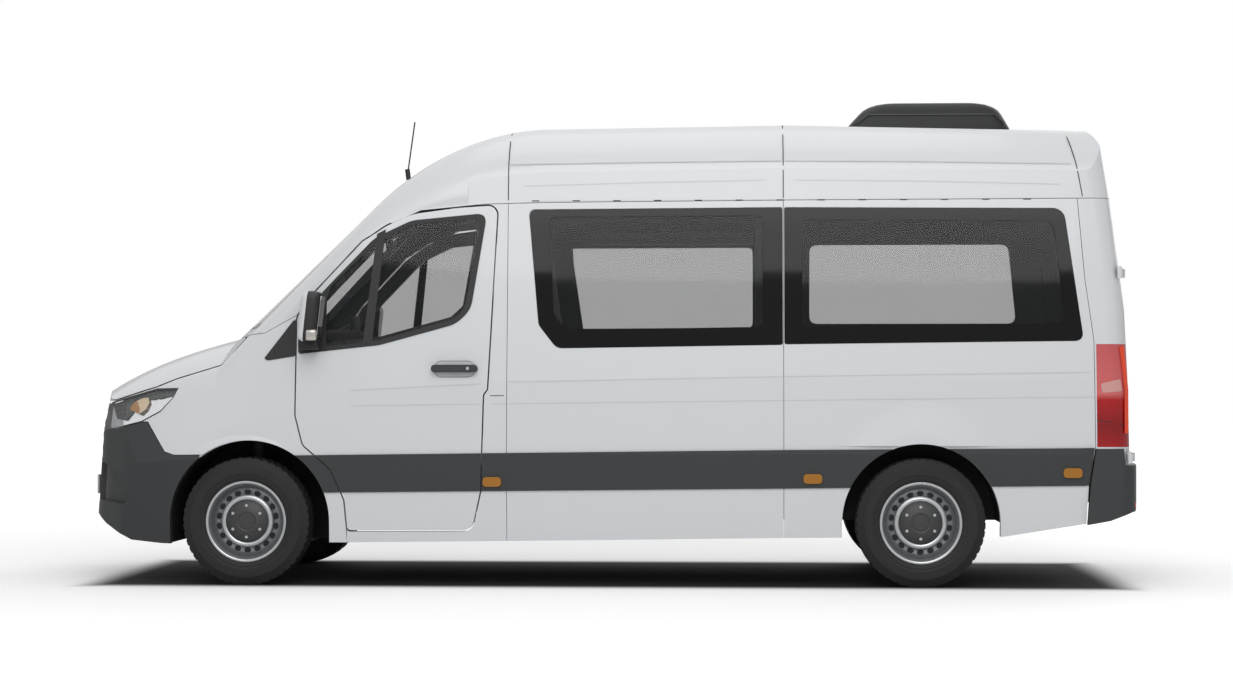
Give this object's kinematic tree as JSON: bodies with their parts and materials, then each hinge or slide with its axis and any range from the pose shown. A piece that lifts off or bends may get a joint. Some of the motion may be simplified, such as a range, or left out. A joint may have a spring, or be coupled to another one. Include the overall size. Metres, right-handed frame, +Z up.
{
  "type": "high-roof window van",
  "caption": "High-roof window van with hinged cab and rear doors, bonnet, steered front wheels, glazed load space and a roof air unit.",
  "frame": {"origin": "middle of the outline on the ground, under the centre of the box round the van", "axes": "+X to the rear of the van, +Y to its right, +Z up"},
  "size_m": [5.913, 2.344, 2.6799],
  "materials": {
    "paint": "smooth gloss paint, very light cool grey-white",
    "dark_plastic": "grained charcoal moulding",
    "cab_plastic": "grained cab moulding",
    "clear_glass": "lightly tinted safety glass",
    "clear_lamp": "clear moulded lens",
    "red_lamp": "red moulded lens",
    "amber_lamp": "amber moulded lens",
    "wheel_silver": "silver wheel paint",
    "tyre": "road tyre rubber",
    "chassis_paint": "satin black chassis paint",
    "engine_metal": "cast metal",
    "exhaust_steel": "dull steel",
    "seat_cloth": "dark woven cloth"
  },
  "bodies": {
    "body": {"windscreen_frame": "paint", "roof": "paint", "front_wings": "paint", "door_posts": "paint", "side_panel_left": "paint", "sliding_door": "paint", "quarter_panels": "paint", "rear_posts": "paint", "front_bumper": "dark_plastic", "grille": "dark_plastic", "rear_bumper": "dark_plastic", "side_strips": "dark_plastic", "roof_air_unit": "dark_plastic", "aerial": "dark_plastic", "wipers": "dark_plastic", "arch_liners": "dark_plastic", "fuel_tank": "dark_plastic", "dashboard": "cab_plastic", "windscreen": "clear_glass", "side_windows": "clear_glass", "headlamps": "clear_lamp", "rear_lamps": "red_lamp", "side_markers": "amber_lamp", "chassis_frame": "chassis_paint", "floor_pan": "chassis_paint", "bulkhead": "chassis_paint", "front_suspension": "chassis_paint", "rear_axle": "chassis_paint", "prop_shaft": "chassis_paint", "engine": "engine_metal", "exhaust": "exhaust_steel", "cab_seats": "seat_cloth"},
    "door_left": {"cab_door_left": "paint", "cab_door_glass_left": "clear_glass", "cab_door_fittings_left": "dark_plastic", "door_mirror_left": "dark_plastic"},
    "door_right": {"cab_door_right": "paint", "cab_door_glass_right": "clear_glass", "cab_door_fittings_right": "dark_plastic", "door_mirror_right": "dark_plastic"},
    "rear_door_l": {"rear_door_left": "paint", "rear_door_glass_left": "clear_glass"},
    "rear_door_r": {"rear_door_right": "paint", "rear_door_glass_right": "clear_glass"},
    "bonnet_lid": {"bonnet": "paint"},
    "steering": {"steering_wheel": "cab_plastic"},
    "steer_left": {"knuckle_left": "engine_metal"},
    "steer_right": {"knuckle_right": "engine_metal"},
    "road_wheel_front_left": {"wheel_front_left": "wheel_silver", "tyre_front_left": "tyre"},
    "road_wheel_front_right": {"wheel_front_right": "wheel_silver", "tyre_front_right": "tyre"},
    "road_wheel_rear_left": {"wheel_rear_left": "wheel_silver", "tyre_rear_left": "tyre"},
    "road_wheel_rear_right": {"wheel_rear_right": "wheel_silver", "tyre_rear_right": "tyre"}
  },
  "joints": [
    {"name": "cab_door_left_hinge", "type": "hinge", "parent": "body", "child": "door_left", "pos_m": [-1.6625, -0.998, 0.6], "axis": [0, -0.0499, -0.9988], "range_deg": [0, 70]},
    {"name": "cab_door_right_hinge", "type": "hinge", "parent": "body", "child": "door_right", "pos_m": [-1.6625, 0.998, 0.6], "axis": [0, -0.0499, 0.9988], "range_deg": [0, 70]},
    {"name": "rear_door_left_hinge", "type": "hinge", "parent": "body", "child": "rear_door_l", "pos_m": [2.8235, -0.975, 0.705], "axis": [0.0411, -0.0611, -0.9973], "range_deg": [0, 180]},
    {"name": "rear_door_right_hinge", "type": "hinge", "parent": "body", "child": "rear_door_r", "pos_m": [2.8235, 0.975, 0.705], "axis": [-0.0411, -0.0611, 0.9973], "range_deg": [0, 180]},
    {"name": "bonnet_hinge", "type": "hinge", "parent": "body", "child": "bonnet_lid", "pos_m": [-1.9875, 0, 1.372], "axis": [0, 1, 0], "range_deg": [0, 55]},
    {"name": "steer_left_pivot", "type": "hinge", "parent": "body", "child": "steer_left", "pos_m": [-1.9525, -0.8, 0.35], "axis": [0, 0, 1], "range_deg": [-35, 35]},
    {"name": "steer_right_pivot", "type": "hinge", "parent": "body", "child": "steer_right", "pos_m": [-1.9525, 0.8, 0.35], "axis": [0, 0, 1], "range_deg": [-35, 35]},
    {"name": "steering_wheel_turn", "type": "hinge", "parent": "body", "child": "steering", "pos_m": [-1.3525, -0.4, 1.3], "axis": [0.5299, 0, 0.848], "range_deg": [-525, 525]},
    {"name": "road_wheel_front_left_spin", "type": "hinge", "parent": "steer_left", "child": "road_wheel_front_left", "pos_m": [-1.9525, -0.86, 0.35], "axis": [0, 1, 0], "continuous": true},
    {"name": "road_wheel_front_right_spin", "type": "hinge", "parent": "steer_right", "child": "road_wheel_front_right", "pos_m": [-1.9525, 0.86, 0.35], "axis": [0, 1, 0], "continuous": true},
    {"name": "road_wheel_rear_left_spin", "type": "hinge", "parent": "body", "child": "road_wheel_rear_left", "pos_m": [1.7125, -0.86, 0.35], "axis": [0, 1, 0], "continuous": true},
    {"name": "road_wheel_rear_right_spin", "type": "hinge", "parent": "body", "child": "road_wheel_rear_right", "pos_m": [1.7125, 0.86, 0.35], "axis": [0, 1, 0], "continuous": true}
  ],
  "couplings": [
    {"joint": "steer_right_pivot", "follows": "steer_left_pivot", "ratio": 1},
    {"joint": "steering_wheel_turn", "follows": "steer_left_pivot", "ratio": 15}
  ]
}
